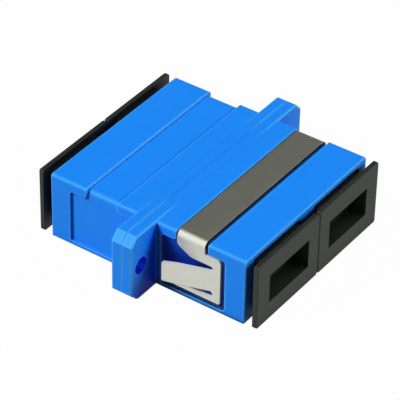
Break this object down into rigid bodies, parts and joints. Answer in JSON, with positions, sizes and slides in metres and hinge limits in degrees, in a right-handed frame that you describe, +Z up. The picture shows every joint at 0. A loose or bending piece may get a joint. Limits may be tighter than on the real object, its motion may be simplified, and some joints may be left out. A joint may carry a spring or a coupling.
{
  "type": "duplex sc fibre adapter",
  "caption": "Rectangular fibre coupling block with side-by-side SC ports on each end, an eared panel flange, a folded spring clip and pull-off dust caps.",
  "frame": {"origin": "under the middle of the flange, on the flat underside", "axes": "+X across the two ports, +Y along the fibres away from the clipped end, +Z up through the side that the clip folds over"},
  "size_m": [0.0356, 0.0322, 0.0094],
  "materials": {
    "housing_blue": "moulded, fine satin",
    "spring_steel": "rolled stainless strip, sheared edges",
    "cap_black": "moulded, satin",
    "holder_natural": "natural moulding",
    "sleeve_zirconia": "ground"
  },
  "bodies": {
    "housing": {"front_shell": "housing_blue", "rear_shell": "housing_blue", "panel_clip": "spring_steel", "latch_holder_front_left": "holder_natural", "latch_holder_front_right": "holder_natural", "latch_holder_rear_left": "holder_natural", "latch_holder_rear_right": "holder_natural", "split_sleeve_left": "sleeve_zirconia", "split_sleeve_right": "sleeve_zirconia"},
    "cap_front_left": {"dust_cap_front_left": "cap_black"},
    "cap_front_right": {"dust_cap_front_right": "cap_black"},
    "cap_rear_left": {"dust_cap_rear_left": "cap_black"},
    "cap_rear_right": {"dust_cap_rear_right": "cap_black"}
  },
  "joints": [
    {"name": "pull_front_left", "type": "slide", "parent": "housing", "child": "cap_front_left", "axis": [0, -1, 0], "range_m": [0, 0.025]},
    {"name": "pull_front_right", "type": "slide", "parent": "housing", "child": "cap_front_right", "axis": [0, -1, 0], "range_m": [0, 0.025]},
    {"name": "pull_rear_left", "type": "slide", "parent": "housing", "child": "cap_rear_left", "axis": [0, 1, 0], "range_m": [0, 0.025]},
    {"name": "pull_rear_right", "type": "slide", "parent": "housing", "child": "cap_rear_right", "axis": [0, 1, 0], "range_m": [0, 0.025]}
  ]
}
